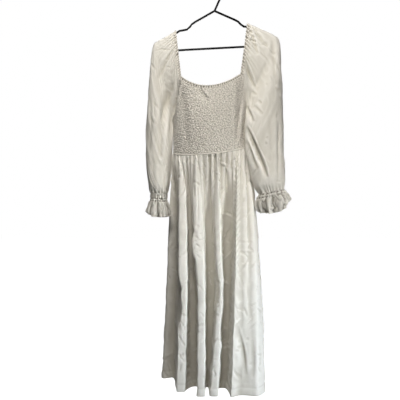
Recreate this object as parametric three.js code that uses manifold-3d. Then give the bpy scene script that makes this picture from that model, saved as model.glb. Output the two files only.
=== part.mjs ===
// Peasant dress hanging on a notched tube hanger.
// Millimetres, +Z up, the dress faces -Y, left and right as seen from the front.
// The origin is the point inside the hook that rests on a rail.
import * as THREE from 'three';
import { mergeVertices } from 'three/addons/utils/BufferGeometryUtils.js';
import Module from 'manifold-3d';

// Cloth and seams
const CLOTH = 1.2;
const SHIRRED_CLOTH = 1.6;
const SEAM = 0.7;
const SIDE_SEAM = 1.1;
const MITRE_SEAM = 1;
const RAGLAN_SEAM = 2.2;
const SLEEVE_END_SEAM = 1.7;
const UNDERARM_EASE = { across: 0.7, down: 1.9 };

// Hanger: heights are measured down from the apex where the two arms meet
const TUBE_RADIUS = 3.5;
const TUBE_SIDES = 10;
const ARM_SLOPE = Math.tan(THREE.MathUtils.degToRad(27));
const ARM_REACH = 206;
const BAR_DROP = 127;
const ARM_STRAIGHTS = {
  inner: [{ out: 0 }, { out: 38 }, { out: 72 }],
  outer: [{ out: 118 }, { out: 126 }, { out: 155 }, { out: ARM_REACH - 16 }],
};
const ARM_NOTCH = [
  { out: 82, drop: 44 },
  { out: 88, drop: 52 },
  { out: 95, drop: 57.5 },
  { out: 104, drop: 60 },
];
const ARM_END = [
  { out: ARM_REACH - 4, drop: 104 },
  { out: ARM_REACH, drop: 113.5 },
  { out: ARM_REACH - 4, drop: BAR_DROP - 4 },
];
const BAR = [
  { out: ARM_REACH - 14, drop: BAR_DROP },
  { out: ARM_REACH / 2, drop: BAR_DROP },
  { out: -1, drop: BAR_DROP },
];
const HOOK_RADIUS = 24;
const HOOK_LEAN = 27;
const HOOK_END = 205;
const HOOK_ARC_POINTS = 8;
const HOOK_STEM_SHARES = [0, 0.35, 0.7];
const HANGER_TILT = 3;
const CLOTH_ON_ARM = 6.3;

// Waist seam: an oval round the girth, low in front and higher on the right
const WAIST = { x: -13.5, half: 120.5, y: -10, front: 72, back: 56, z: -526, sag: 43, tilt: 12 };

// Neckline corners, the inner corner of the casing, the raglan corner under it and the underarm point
const LEFT = {
  side: -1,
  frontCorner: [-108, -45, -307],
  frontRaglan: [-116, -43, -315],
  backCorner: [-114, 50, -318],
  backRaglan: [-122, 48, -326],
  underarm: [-138, 12, -462],
  frontCurve: [-128, -22, -386],
  backCurve: [-134, 33, -392],
};
const RIGHT = {
  side: 1,
  frontCorner: [88, -45, -299],
  frontRaglan: [96, -43, -307],
  backCorner: [97, 50, -312],
  backRaglan: [105, 48, -320],
  underarm: [107, -22, -425],
  frontCurve: [103, -37, -364],
  backCurve: [114, 15, -374],
};
const NECK_FRONT_DIP = [-26, -103, -387];
const NECK_BACK_DIP = [-8, 74, -362];
const CASING_DROP = 9.5;

// Girth angles of the side seams and below the neckline corners, 0 at the centre front
const SEAM_RIGHT_ANGLE = 47;
const SEAM_LEFT_ANGLE = -108;
const FRONT_CORNER_ANGLES = [-38, 40];
const BACK_CORNER_ANGLES = [112, 222];
const CORNER_AT = 0.2;

// Bodice fullness, and its folds: where across the panel, how deep and how wide
const BODICE_FULLNESS = 6;
const BODICE_FRONT_FOLDS = [
  { name: 'groove_left', at: 0.21, depth: 8, wide: 0.045 },
  { name: 'groove_right', at: 0.84, depth: 7, wide: 0.04 },
];
const BODICE_BACK_FOLDS = [
  { name: 'back_groove_right', at: 0.24, depth: 6, wide: 0.05 },
  { name: 'back_groove_left', at: 0.7, depth: 7, wide: 0.05 },
];

// Sleeve heads: distance out along the arm, place down the raglan seams, fullness to front and back
const HEAD_LEFT = [
  { arm: 143, seam: 0, front: -14, back: 14 },
  { arm: 172, seam: 0.36, front: -19, back: 18 },
  { arm: 197, seam: 0.68, front: -24, back: 22 },
];
const HEAD_RIGHT = [
  { arm: 117, seam: 0, front: -14, back: 14 },
  { arm: 158, seam: 0.36, front: -20, back: 20 },
  { arm: 197, seam: 0.68, front: -26, back: 28 },
];
const NECK_EDGE_LEFT = 134;
const NECK_EDGE_RIGHT = 108;
const NECK_FULLNESS = 14;

// Shoulder corners just past the ends of the hanger
const CORNER_LEFT = { outX: -204, outY: 0, outZ: -193, seam: 0.88, front: -28, back: 26 };
const CORNER_RIGHT = { outX: 224, outY: 0, outZ: -178, seam: 0.88, front: -30, back: 36 };

// Hanging sleeves: outer line, inner line and fullness of each section down to the wrist,
// and how flat its front and back leave the inner seam, from 0 turned round to 1 straight out
const SLEEVE_LEFT = [
  { name: 'underarm', outX: -214, outY: -2, outZ: -265, inX: -139, inY: 12, inZ: -466,
    front: -34, back: 31, openFront: 0.7, openBack: 0.7 },
  { name: 'upper_arm', outX: -222, outY: -4, outZ: -375, inX: -143, inY: 6, inZ: -522,
    front: -36, back: 32, openFront: 0, openBack: 0 },
  { name: 'elbow', outX: -228, outY: -5, outZ: -482, inX: -143, inY: 2, inZ: -577,
    front: -36, back: 32, openFront: 0, openBack: 0 },
  { name: 'forearm', outX: -226, outY: -7, outZ: -585, inX: -145, inY: -2, inZ: -632,
    front: -36, back: 32, openFront: 0, openBack: 0 },
  { name: 'puff', outX: -220, outY: -9, outZ: -657, inX: -150, inY: -5, inZ: -672,
    front: -36, back: 32, openFront: 0, openBack: 0 },
  { name: 'wrist', outX: -212, outY: -10, outZ: -692, inX: -156, inY: -8, inZ: -694,
    front: -22, back: 20, openFront: 0, openBack: 0 },
];
const SLEEVE_RIGHT = [
  { name: 'underarm', outX: 228, outY: -10, outZ: -262, inX: 108, inY: -24, inZ: -430,
    front: -40, back: 40, openFront: 0.4, openBack: 1 },
  { name: 'upper_arm', outX: 230, outY: -22, outZ: -372, inX: 103, inY: -44, inZ: -476,
    front: -36, back: 37, openFront: 0, openBack: 0.5 },
  { name: 'elbow', outX: 231, outY: -32, outZ: -480, inX: 104, inY: -52, inZ: -550,
    front: -38, back: 36, openFront: 0, openBack: 0 },
  { name: 'forearm', outX: 232, outY: -40, outZ: -570, inX: 114, inY: -53, inZ: -614,
    front: -38, back: 37, openFront: 0, openBack: 0 },
  { name: 'puff', outX: 234, outY: -45, outZ: -645, inX: 128, inY: -53, inZ: -665,
    front: -38, back: 36, openFront: 0, openBack: 0 },
  { name: 'wrist', outX: 230, outY: -47, outZ: -678, inX: 148, inY: -50, inZ: -696,
    front: -24, back: 24, openFront: 0, openBack: 0 },
];

// Cuff ruffles: fall from the wrist, growth of the ring and the share of the fall where it is full,
// rise of the hem at the left and right ends, and flutes
const CUFF_LEFT = {
  fallX: -1, fallY: -2, fallZ: -76, growth: 0.34, fullAt: 0.9, rise: [17, 4], flutes: 9, flute: 3.5,
};
const CUFF_RIGHT = {
  fallX: 8, fallY: -3, fallZ: -68, growth: 0.26, fullAt: 0.5, rise: [12, 26], flutes: 11, flute: 3.5,
};

// Skirt levels as a share of its length, and the hem
const SKIRT_LEVELS = [0, 0.2, 0.6, 1];
const HEM_Z = -1342;

// Skirt folds in order round the girth: angle at the waist, then x and y at hip, knee and hem.
// A crest or floor is flat on both sides of its line for the widths given at those levels.
const SKIRT_FOLDS = [
  { name: 'seam_left', waist: -108, hip: [-141, 22], knee: [-163, 42], hem: [-180, 59] },
  { name: 'edge_left', waist: -99, hip: [-139, 13], knee: [-156, 33], hem: [-172, 48] },
  { name: 'inner_left', waist: -80, hip: [-122, -2], knee: [-131, 35], hem: [-138, 54] },
  { name: 'ridge_a', waist: -54, hip: [-102, -68], knee: [-102, -68], hem: [-108, -60], crest: [10, 12, 11] },
  { name: 'valley_ab', waist: -40, hip: [-80, -46], knee: [-70, -32], hem: [-64, -22], floor: [5, 10, 11] },
  { name: 'ridge_b', waist: -22, hip: [-54, -80], knee: [-42, -91], hem: [-43, -95], crest: [12, 9, 10] },
  { name: 'valley_bc', waist: -5, hip: [-20, -52], knee: [-11, -36], hem: [-22, -26], floor: [8, 11, 5] },
  { name: 'ridge_c', waist: 9, hip: [8, -80], knee: [17, -89], hem: [-1, -93], crest: [6, 7, 10] },
  { name: 'valley_cd', waist: 27, hip: [45, -54], knee: [43, -40], hem: [30, -34], floor: [13, 10, 11] },
  { name: 'seam_right', waist: 47, hip: [72, -84], knee: [65, -95], hem: [54, -100], crest: [0, 0, 0] },
  { name: 'dip_d', waist: 60, hip: [95, -70], knee: [95, -82], hem: [90, -86], floor: [8, 8, 8] },
  { name: 'bulge_e', waist: 74, hip: [116, -54], knee: [127, -78], hem: [130, -90], floor: [8, 10, 10] },
  { name: 'turn_right', waist: 90, hip: [137, -2], knee: [159, -30], hem: [168, -52] },
  { name: 'back_right', waist: 112, hip: [122, 42], knee: [156, 32], hem: [164, 24] },
  { name: 'back_ridge_1', waist: 130, hip: [95, 58], knee: [128, 76], hem: [136, 84], floor: [8, 8, 8] },
  { name: 'back_valley_1', waist: 145, hip: [70, 49], knee: [98, 54], hem: [104, 58] },
  { name: 'back_ridge_2', waist: 160, hip: [42, 60], knee: [62, 80], hem: [70, 91], floor: [9, 9, 9] },
  { name: 'back_valley_2', waist: 176, hip: [14, 50], knee: [27, 55], hem: [32, 56] },
  { name: 'back_ridge_3', waist: 192, hip: [-16, 60], knee: [-8, 82], hem: [-5, 93], floor: [10, 10, 10] },
  { name: 'back_valley_3', waist: 206, hip: [-45, 51], knee: [-43, 58], hem: [-44, 62] },
  { name: 'back_ridge_4', waist: 222, hip: [-78, 60], knee: [-82, 82], hem: [-86, 92], floor: [9, 9, 9] },
  { name: 'back_valley_4', waist: 234, hip: [-108, 50], knee: [-122, 72], hem: [-128, 86] },
  { name: 'back_left', waist: 244, hip: [-138, 33], knee: [-156, 53], hem: [-171, 73] },
];

// Beside a crest the cloth turns back this far out and inwards, and a flat fold's edges
// lie this many degrees apart at the waist for each millimetre of their width
const CREST_OUT = 3;
const CREST_BACK = 7;
const WAIST_TURN = 0.25;

// Divisions of the faceted walls
const BODICE_COLUMNS = 20;
const BODICE_ROWS = 6;
const CASING_COLUMNS = 24;
const SLEEVE_COLUMNS = 24;
const SLEEVE_ROWS = 14;
const CUFF_COLUMNS = 28;
const CUFF_ROWS = 5;
const SKIRT_ROWS = 8;
const SKIRT_ROW_CROWDING = 1.3;
const STEPS_PER_FOLD_POINT = 2;
const FRAME_STEPS = 36;
const HOOK_STEPS = 22;
const MERGE_DISTANCE = 1e-4;

// Colours of the finished pieces
const CREAM = 0xe4dfd2;
const BLACK = 0x0d0d0f;

const wasm = await Module();
wasm.setup();

const { degToRad, lerp } = THREE.MathUtils;
const vector = (list) => new THREE.Vector3(...list);
const range = (count) => Array.from({ length: count + 1 }, (_, i) => i / count);
const smoothCurve = (points) => new THREE.CatmullRomCurve3(points, false, 'catmullrom', 0.5);

// Value of a named column, smooth through the rows of a table, t from 0 at the first to 1 at the last.
function along(table, column, t) {
  const values = table.map((row) => new THREE.Vector3(row[column], 0, 0));
  return smoothCurve(values).getPoint(t).x;
}

// Direction along a line of points at one of them, with a curve through three at either end.
function slope(point, n, last) {
  const mix = (a, b, c) => a.clone().multiplyScalar(-3).addScaledVector(b, 4).sub(c);
  if (last === 1) return point(1).clone().sub(point(0));
  if (n === 0 && last !== Infinity) return mix(point(0), point(1), point(2));
  if (n === last) return mix(point(n), point(n - 1), point(n - 2)).negate();
  return point(n + 1).clone().sub(point(n - 1));
}

// Closed wall of cloth about a grid of points, rows down the piece and columns round it.
// A panel that runs on smoothly past its side seams brings the next points there, before and after.
function wall(grid, thickness, { closed = false, beyond = null } = {}) {
  const rows = grid.length;
  const columns = grid[0].length;
  const at = (r, c) => {
    if (beyond && c < 0) return beyond[r][0];
    if (beyond && c === columns) return beyond[r][1];
    return grid[r][(c + columns) % columns];
  };
  const faces = [[], []];
  for (let r = 0; r < rows; r += 1) {
    for (let c = 0; c < columns; c += 1) {
      const across = slope((n) => at(r, n), c, closed || beyond ? Infinity : columns - 1);
      const down = slope((n) => at(n, c), r, rows - 1);
      const offset = down.cross(across).normalize().multiplyScalar(thickness / 2);
      faces[0].push(at(r, c).clone().add(offset));
      faces[1].push(at(r, c).clone().sub(offset));
    }
  }
  const back = rows * columns;
  const index = [];
  const quad = (a, b, c, d) => index.push(a, b, c, a, c, d);
  const steps = closed ? columns : columns - 1;
  const id = (r, c) => r * columns + (c % columns);
  for (let c = 0; c < steps; c += 1) {
    for (let r = 0; r < rows - 1; r += 1) {
      quad(id(r, c), id(r + 1, c), id(r + 1, c + 1), id(r, c + 1));
      quad(back + id(r, c), back + id(r, c + 1), back + id(r + 1, c + 1), back + id(r + 1, c));
    }
    const last = rows - 1;
    quad(id(0, c), id(0, c + 1), back + id(0, c + 1), back + id(0, c));
    quad(id(last, c), back + id(last, c), back + id(last, c + 1), id(last, c + 1));
  }
  if (!closed) {
    for (let r = 0; r < rows - 1; r += 1) {
      const end = columns - 1;
      quad(id(r, 0), back + id(r, 0), back + id(r + 1, 0), id(r + 1, 0));
      quad(id(r, end), id(r + 1, end), back + id(r + 1, end), back + id(r, end));
    }
  }
  const geometry = new THREE.BufferGeometry().setFromPoints([...faces[0], ...faces[1]]);
  geometry.setIndex(index);
  geometry.computeVertexNormals();
  return geometry;
}

// Moves an edge point half a seam's width towards the point beside it.
const drawBack = (edge, inner, seam) => edge.add(inner.clone().sub(edge).setLength(seam / 2));

// Grid of points from a function of two shares, its edges drawn back from the seams on all four sides.
function panelGrid(point, columns, rows, sideSeam = SEAM, endSeam = SEAM) {
  const grid = range(rows).map((v) => range(columns).map((u) => point(u, v)));
  grid.forEach((row) => {
    drawBack(row[0], row[1], sideSeam);
    drawBack(row[columns], row[columns - 1], sideSeam);
  });
  grid[0].forEach((edge, c) => drawBack(edge, grid[1][c], endSeam));
  grid[rows].forEach((edge, c) => drawBack(edge, grid[rows - 1][c], endSeam));
  return grid;
}

function mesh(name, geometry, color, roughness) {
  const made = new THREE.Mesh(geometry, new THREE.MeshStandardMaterial({ color, roughness, metalness: 0 }));
  made.name = name;
  return made;
}

const clothMesh = (name, geometry) => mesh(name, geometry, CREAM, 0.9);

// Hanger
const apexZ = -(HOOK_RADIUS / Math.sin(degToRad(HOOK_LEAN)) + HOOK_RADIUS - TUBE_RADIUS);

// Place on the hanger in the part's frame, from the hanger's own upright frame.
function onHanger(x, z) {
  return new THREE.Vector3(x, 0, z).applyAxisAngle(new THREE.Vector3(0, 1, 0), -degToRad(HANGER_TILT));
}

// Place of cloth that lies over an arm, at a distance out from the middle.
function overArm(side, out) {
  return onHanger(side * out, apexZ - out * ARM_SLOPE + CLOTH_ON_ARM);
}

function solid(geometry) {
  const bare = geometry.clone();
  bare.deleteAttribute('normal');
  bare.deleteAttribute('uv');
  const merged = mergeVertices(bare, MERGE_DISTANCE);
  return new wasm.Manifold(new wasm.Mesh({
    numProp: 3,
    vertProperties: merged.attributes.position.array,
    triVerts: new Uint32Array(merged.index.array),
  }));
}

function fromSolid(joined) {
  const made = joined.getMesh();
  const geometry = new THREE.BufferGeometry();
  geometry.setAttribute('position', new THREE.BufferAttribute(new Float32Array(made.vertProperties), 3));
  geometry.setIndex(new THREE.BufferAttribute(new Uint32Array(made.triVerts), 1));
  geometry.computeVertexNormals();
  return geometry;
}

function tubeAlong(points, steps) {
  const round = new THREE.Shape();
  round.absarc(0, 0, TUBE_RADIUS, 0, Math.PI * 2);
  const path = new THREE.CatmullRomCurve3(points.map(([x, z]) => new THREE.Vector3(x, 0, z)));
  return new THREE.ExtrudeGeometry(round, { steps, curveSegments: TUBE_SIDES / 2, extrudePath: path });
}

// Half of the frame: arm with its strap notch, round end and half of the bar.
function halfFrame(side) {
  const arm = [...ARM_STRAIGHTS.inner, ...ARM_NOTCH, ...ARM_STRAIGHTS.outer, ...ARM_END, ...BAR];
  const points = arm.map(({ out, drop = out * ARM_SLOPE }) => [side * out, apexZ - drop]);
  return tubeAlong(points, FRAME_STEPS);
}

function hookPoints() {
  const centre = apexZ + HOOK_RADIUS / Math.sin(degToRad(HOOK_LEAN));
  const arc = range(HOOK_ARC_POINTS).map((t) => {
    const angle = degToRad(lerp(-HOOK_LEAN, HOOK_END, t));
    return [HOOK_RADIUS * Math.cos(angle), centre + HOOK_RADIUS * Math.sin(angle)];
  });
  const stem = HOOK_STEM_SHARES.map((t) => [arc[0][0] * t, lerp(apexZ, arc[0][1], t)]);
  return [...stem, ...arc];
}

function hanger() {
  const hook = hookPoints();
  const ball = ([x, z]) => {
    const round = new THREE.SphereGeometry(TUBE_RADIUS, TUBE_SIDES, TUBE_SIDES / 2);
    return round.translate(x, 0, z);
  };
  const joined = [halfFrame(1), tubeAlong(hook, HOOK_STEPS), ball(hook[0]), ball(hook.at(-1))]
    .reduce((all, piece) => all.add(solid(piece)), solid(halfFrame(-1)));
  const made = mesh('hanger', fromSolid(joined), BLACK, 0.2);
  made.rotation.y = -degToRad(HANGER_TILT);
  return made;
}

// Bodice
function waist(angle) {
  const turn = degToRad(angle);
  const reach = Math.cos(turn) > 0 ? WAIST.front : WAIST.back;
  return new THREE.Vector3(
    WAIST.x + WAIST.half * Math.sin(turn),
    WAIST.y - reach * Math.cos(turn),
    WAIST.z - WAIST.sag * (1 + Math.cos(turn)) / 2 + WAIST.tilt * Math.sin(turn),
  );
}

const bend = (...points) => new THREE.QuadraticBezierCurve3(...points.map(vector));
const lowered = ([x, y, z]) => [x, y, z - CASING_DROP];

// Raglan seam from the neck to the underarm.
const raglan = (arm, face) => bend(arm[`${face}Raglan`], arm[`${face}Curve`], arm.underarm);

// The same seam on the bodice's side, where the underarm points of front and back part a little.
function bodiceRaglan(arm, face) {
  const [x, y, z] = arm.underarm;
  const across = face === 'front' ? -UNDERARM_EASE.across : UNDERARM_EASE.across;
  return bend(arm[`${face}Raglan`], arm[`${face}Curve`], [x, y + across, z - UNDERARM_EASE.down]);
}

const neckEdge = {
  front: bend(LEFT.frontCorner, NECK_FRONT_DIP, RIGHT.frontCorner),
  back: bend(LEFT.backCorner, NECK_BACK_DIP, RIGHT.backCorner),
};
const neckSeam = {
  front: bend(LEFT.frontRaglan, lowered(NECK_FRONT_DIP), RIGHT.frontRaglan),
  back: bend(LEFT.backRaglan, lowered(NECK_BACK_DIP), RIGHT.backRaglan),
};

// Upper edge of a bodice panel from left to right: up one raglan seam, along the neck, down the other.
function bodiceTop(face, u) {
  if (u < CORNER_AT) return bodiceRaglan(LEFT, face).getPoint(1 - u / CORNER_AT);
  if (u > 1 - CORNER_AT) return bodiceRaglan(RIGHT, face).getPoint((u - 1 + CORNER_AT) / CORNER_AT);
  return neckSeam[face].getPoint((u - CORNER_AT) / (1 - 2 * CORNER_AT));
}

function girthAngle(u, angles) {
  const places = [0, CORNER_AT, 1 - CORNER_AT, 1];
  const part = u < places[1] ? 0 : (u < places[2] ? 1 : 2);
  const share = (u - places[part]) / (places[part + 1] - places[part]);
  return lerp(angles[part], angles[part + 1], share);
}

// Panel between its upper edge and the waist, with soft folds that are deepest halfway down.
function bodice(face, angles, folds, outward) {
  const point = (u, v) => {
    const place = bodiceTop(face, u).lerp(waist(girthAngle(u, angles)), v);
    const dent = ({ at, depth, wide }) => depth * Math.exp(-(((u - at) / wide) ** 2));
    const fold = folds.reduce((sum, row) => sum + dent(row), 0);
    const belly = Math.sin(Math.PI * v);
    place.y += outward * belly * (BODICE_FULLNESS * Math.sin(Math.PI * u) - fold);
    return place;
  };
  const grid = panelGrid(point, BODICE_COLUMNS, BODICE_ROWS, SIDE_SEAM);
  return wall(outward < 0 ? grid : grid.map((row) => row.reverse()), SHIRRED_CLOTH);
}

function neckCasing(face, outward) {
  const point = (u, v) => neckEdge[face].getPoint(u).lerp(neckSeam[face].getPoint(u), v);
  const grid = panelGrid(point, CASING_COLUMNS, 1, MITRE_SEAM);
  return wall(outward < 0 ? grid : grid.map((row) => row.reverse()), SHIRRED_CLOTH);
}

// Sleeves
// One section across a sleeve, from its front inner edge over the outer line to its back inner edge.
function section(row, u) {
  const side = u < 0.5 ? 'Front' : 'Back';
  const turn = Math.abs(u * 2 - 1) * Math.PI / 2;
  const share = Math.sin(turn) ** 2;
  const place = row.out.clone().lerp(row[`inner${side}`], share);
  place.y += row[side.toLowerCase()] * Math.sin(2 * turn) * (1 - row[`open${side}`] * share);
  return place;
}

function sleeveSections(arm, head, corner, hanging) {
  const onRaglan = (row, out) => ({
    out,
    innerFront: raglan(arm, 'front').getPoint(row.seam),
    innerBack: raglan(arm, 'back').getPoint(row.seam),
    front: row.front,
    back: row.back,
    openFront: 1,
    openBack: 1,
  });
  const outer = (row) => vector([row.outX, row.outY, row.outZ]);
  const closed = (row) => {
    const inner = vector([row.inX, row.inY, row.inZ]);
    return { ...row, out: outer(row), innerFront: inner, innerBack: inner };
  };
  return [
    ...head.map((row) => onRaglan(row, overArm(arm.side, row.arm))),
    onRaglan(corner, outer(corner)),
    ...hanging.map(closed),
  ];
}

// Section at a share of the way down the sleeve.
function sectionAt(sections, v) {
  const place = (key) => smoothCurve(sections.map((row) => row[key])).getPoint(v);
  return {
    out: place('out'),
    innerFront: place('innerFront'),
    innerBack: place('innerBack'),
    front: along(sections, 'front', v),
    back: along(sections, 'back', v),
    openFront: along(sections, 'openFront', v),
    openBack: along(sections, 'openBack', v),
  };
}

const facing = (arm, grid) => (arm.side > 0 ? grid : grid.map((row) => row.reverse()));

function sleeve(arm, sections) {
  const point = (u, v) => section(sectionAt(sections, v), u);
  const grid = panelGrid(point, SLEEVE_COLUMNS, SLEEVE_ROWS, RAGLAN_SEAM, SLEEVE_END_SEAM);
  return wall(facing(arm, grid), CLOTH);
}

function sleeveCasing(arm, sections, neckOut) {
  const inner = {
    out: overArm(arm.side, neckOut),
    innerFront: vector(arm.frontCorner),
    innerBack: vector(arm.backCorner),
    front: -NECK_FULLNESS,
    back: NECK_FULLNESS,
    openFront: 1,
    openBack: 1,
  };
  const point = (u, v) => section(inner, u).lerp(section(sections[0], u), v);
  return wall(facing(arm, panelGrid(point, CASING_COLUMNS, 1, MITRE_SEAM)), SHIRRED_CLOTH);
}

// Ruffle below the wrist: the wrist's section grown outwards as it falls, with flutes and a rising hem.
function cuffRuffle(arm, wrist, { fallX, fallY, fallZ, growth, fullAt, rise, flutes, flute }) {
  const middle = wrist.out.clone().lerp(wrist.innerFront, 0.5);
  const half = Math.abs(wrist.out.x - middle.x);
  const length = Math.abs(fallZ);
  const rows = range(CUFF_ROWS).map((v) => lerp(SEAM / length, 1, v));
  const grid = rows.map((v) => range(CUFF_COLUMNS).slice(0, -1).map((u) => {
    const away = section(wrist, u).sub(middle);
    const end = away.x / half;
    const lift = v ** 2 * rise[end < 0 ? 0 : 1] * Math.abs(end) ** 3;
    const full = Math.sin((Math.PI / 2) * (v / fullAt));
    const swell = 1 + full * growth + (v * flute * Math.cos(u * flutes * 2 * Math.PI)) / away.length();
    const place = middle.clone().add(away.multiplyScalar(swell));
    return place.add(new THREE.Vector3(fallX * v, fallY * v, fallZ * v + lift));
  }));
  return wall(facing(arm, grid), CLOTH, { closed: true });
}

// Skirt
// Lines of a fold as an angle at the waist and places in plan: one, or both edges of a floor,
// or both edges of a crest with the cloth turned back beside them.
function foldLines({ waist: angle, hip, knee, hem, crest, floor }) {
  const side = Math.sign(Math.cos(degToRad(angle)));
  const line = (way, wide, back) => ({
    waist: angle + way * WAIST_TURN * wide[0],
    plan: [hip, knee, hem].map(([x, y], n) => (
      new THREE.Vector2(x + side * way * wide[n], y + side * back))),
  });
  if (floor) return [line(-1, floor, 0), line(1, floor, 0)];
  if (!crest) return [line(0, [0, 0, 0], 0)];
  const turned = crest.map((wide) => wide + CREST_OUT);
  const left = [line(-1, turned, CREST_BACK), line(-1, crest, 0)];
  if (crest.every((wide) => wide === 0)) return left;
  return [...left, line(1, crest, 0), line(1, turned, CREST_BACK)];
}

// Place of a line at a share of the skirt's length, smooth through waist, hip, knee and hem.
function linePlace(line, v) {
  const top = waist(line.waist);
  const levels = [new THREE.Vector2(top.x, top.y), ...line.plan];
  const slope = (i) => {
    const [a, b] = [Math.max(i - 1, 0), Math.min(i + 1, levels.length - 1)];
    return levels[b].clone().sub(levels[a]).divideScalar(SKIRT_LEVELS[b] - SKIRT_LEVELS[a]);
  };
  const i = SKIRT_LEVELS.findLastIndex((level, n) => n < levels.length - 1 && v >= level);
  const span = SKIRT_LEVELS[i + 1] - SKIRT_LEVELS[i];
  const t = (v - SKIRT_LEVELS[i]) / span;
  const ease = t * t * (3 - 2 * t);
  const plan = levels[i].clone().lerp(levels[i + 1], ease);
  plan.addScaledVector(slope(i), span * t * (1 - t) ** 2);
  plan.addScaledVector(slope(i + 1), span * t * t * (t - 1));
  return new THREE.Vector3(plan.x, plan.y, lerp(top.z - SEAM, HEM_Z, v));
}

// Place round a girth, counted in its points, on a closed curve that keeps flat where points lie close.
function roundGirth(points, n) {
  const at = (i) => points[(i + points.length) % points.length];
  const gap = (i) => at(i).distanceTo(at(i + 1));
  const slope = (i) => at(i + 1).clone().sub(at(i - 1)).divideScalar(gap(i - 1) + gap(i));
  const first = Math.floor(n);
  const t = n - first;
  const place = at(first).clone().lerp(at(first + 1), t * t * (3 - 2 * t));
  place.addScaledVector(slope(first), gap(first) * t * (1 - t) ** 2);
  return place.addScaledVector(slope(first + 1), gap(first) * t * t * (t - 1));
}

// Panel between two places in the girth's count of points.
function skirtPanel(lines, first, last) {
  const columns = (last - first) * STEPS_PER_FOLD_POINT;
  const beyond = [];
  const grid = range(SKIRT_ROWS).map((v) => {
    const points = lines.map((line) => linePlace(line, v ** SKIRT_ROW_CROWDING));
    const place = (n) => roundGirth(points, n);
    const step = 1 / STEPS_PER_FOLD_POINT;
    const row = range(columns).map((u) => place(lerp(first, last, u)));
    beyond.push([place(first - step), place(last + step)]);
    drawBack(row[0], row[1], SIDE_SEAM);
    drawBack(row[columns], row[columns - 1], SIDE_SEAM);
    return row;
  });
  return wall(grid, CLOTH, { beyond });
}

// The dress on its hanger
const sections = {
  left: sleeveSections(LEFT, HEAD_LEFT, CORNER_LEFT, SLEEVE_LEFT),
  right: sleeveSections(RIGHT, HEAD_RIGHT, CORNER_RIGHT, SLEEVE_RIGHT),
};
const frontAngles = [SEAM_LEFT_ANGLE, ...FRONT_CORNER_ANGLES, SEAM_RIGHT_ANGLE];
const backAngles = [SEAM_LEFT_ANGLE + 360, ...BACK_CORNER_ANGLES.toReversed(), SEAM_RIGHT_ANGLE];
const seamFold = SKIRT_FOLDS.findIndex((fold) => fold.name === 'seam_right');
const frontLines = SKIRT_FOLDS.slice(0, seamFold + 1).flatMap(foldLines);
const backLines = SKIRT_FOLDS.slice(seamFold + 1).flatMap(foldLines);
const skirtLines = [...frontLines, ...backLines];
const sideSeam = frontLines.length - 1;

const dress = new THREE.Group();
dress.add(
  hanger(),
  clothMesh('bodice_front', bodice('front', frontAngles, BODICE_FRONT_FOLDS, -1)),
  clothMesh('bodice_back', bodice('back', backAngles, BODICE_BACK_FOLDS, 1)),
  clothMesh('neck_casing_front', neckCasing('front', -1)),
  clothMesh('neck_casing_back', neckCasing('back', 1)),
  clothMesh('neck_casing_left', sleeveCasing(LEFT, sections.left, NECK_EDGE_LEFT)),
  clothMesh('neck_casing_right', sleeveCasing(RIGHT, sections.right, NECK_EDGE_RIGHT)),
  clothMesh('sleeve_left', sleeve(LEFT, sections.left)),
  clothMesh('sleeve_right', sleeve(RIGHT, sections.right)),
  clothMesh('cuff_ruffle_left', cuffRuffle(LEFT, sections.left.at(-1), CUFF_LEFT)),
  clothMesh('cuff_ruffle_right', cuffRuffle(RIGHT, sections.right.at(-1), CUFF_RIGHT)),
  clothMesh('skirt_front', skirtPanel(skirtLines, 0, sideSeam)),
  clothMesh('skirt_back', skirtPanel(skirtLines, sideSeam, skirtLines.length)),
);

export default dress;
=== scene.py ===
# %% [markdown]
# # A peasant dress on its hanger
# A cream dress with a square elastic neckline, a shirred bodice, full raglan sleeves and a long
# gathered skirt hangs on a black tube hanger. Every panel of cloth is a thin shell on a grid of
# points. The grid follows the dress's own pattern, and gathers, folds and creases are then pressed
# into it, as they would be by a hand or an iron.

# %% Load the frame
import math

import bpy
import numpy as np
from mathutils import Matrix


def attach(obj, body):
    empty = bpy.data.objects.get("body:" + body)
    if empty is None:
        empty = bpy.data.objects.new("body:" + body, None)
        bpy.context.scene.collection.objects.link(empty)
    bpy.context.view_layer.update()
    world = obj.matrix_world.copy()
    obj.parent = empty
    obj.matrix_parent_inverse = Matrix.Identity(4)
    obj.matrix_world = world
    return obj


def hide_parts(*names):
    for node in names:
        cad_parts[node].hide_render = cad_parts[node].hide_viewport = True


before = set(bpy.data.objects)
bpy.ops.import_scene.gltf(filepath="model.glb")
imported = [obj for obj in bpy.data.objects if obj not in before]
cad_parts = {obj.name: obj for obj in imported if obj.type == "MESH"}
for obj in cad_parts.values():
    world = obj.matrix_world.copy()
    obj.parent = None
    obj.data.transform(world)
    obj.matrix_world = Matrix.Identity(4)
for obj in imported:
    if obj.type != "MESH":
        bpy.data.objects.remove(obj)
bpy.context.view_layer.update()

# %% [markdown]
# ## Camera
# The dress is seen straight from the front, from one and a half metres away, so folds that stand
# forward look larger and hang lower than those behind them. The camera is level, and its lens is
# worked out from how much of the hanger's plane fills the frame.

# %% Set the camera
MM = 0.001
EYE = np.array([-45.6, -1500.0, -716.0])
FRAME_WIDTH = 1360.0
SENSOR = 36.0

scene = bpy.context.scene
camera = bpy.data.objects.new("camera", bpy.data.cameras.new("camera"))
scene.collection.objects.link(camera)
camera.location = EYE * MM
camera.rotation_euler = (math.radians(90), 0, 0)
camera.data.sensor_width = SENSOR
camera.data.lens = SENSOR * -EYE[1] / FRAME_WIDTH
scene.camera = camera
print("lens in millimetres", round(camera.data.lens, 1))

# %% [markdown]
# ## Light and floor
# One soft lamp above the front gives most of the light. Two narrow windows on the right, a cool one
# low down and a warm one higher, give the skirt's folds their bright edges and dark valleys. A weak
# light fills in from the front, and a stronger one behind shows the back. The room and the pale
# floor are shown white to the eye but light the cloth only gently.

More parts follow.
